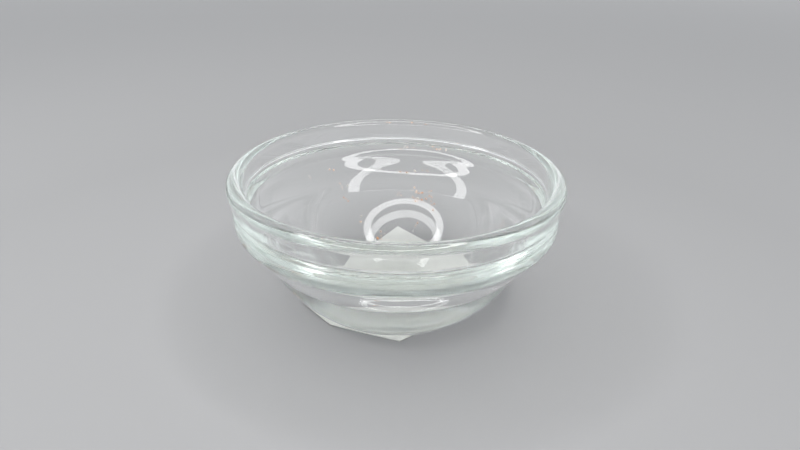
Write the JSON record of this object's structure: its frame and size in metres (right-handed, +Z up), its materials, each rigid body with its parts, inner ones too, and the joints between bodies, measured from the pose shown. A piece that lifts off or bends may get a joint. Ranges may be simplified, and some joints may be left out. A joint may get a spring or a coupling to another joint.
{
  "type": "prep bowl",
  "caption": "Small clear pressed-glass prep bowl with a rounded rim, two outer beads, an inner stacking ledge, a round lower bowl on a flat foot, and a plain paper label bonded under it.",
  "frame": {"origin": "on the surface that the bowl stands on, under the middle of the bowl", "axes": "+Z up along the bowl's axis, -Y towards the viewer of the picture, +X to the right"},
  "size_m": [0.06, 0.06, 0.0282],
  "materials": {
    "clear_glass": "polished, clear with a faint green tint",
    "label_paper": "matt white paper, blank",
    "adhesive_film": "thin clear adhesive film"
  },
  "bodies": {
    "root": {"glass_bowl": "clear_glass", "label_adhesive": "adhesive_film", "base_label": "label_paper"}
  },
  "joints": []
}
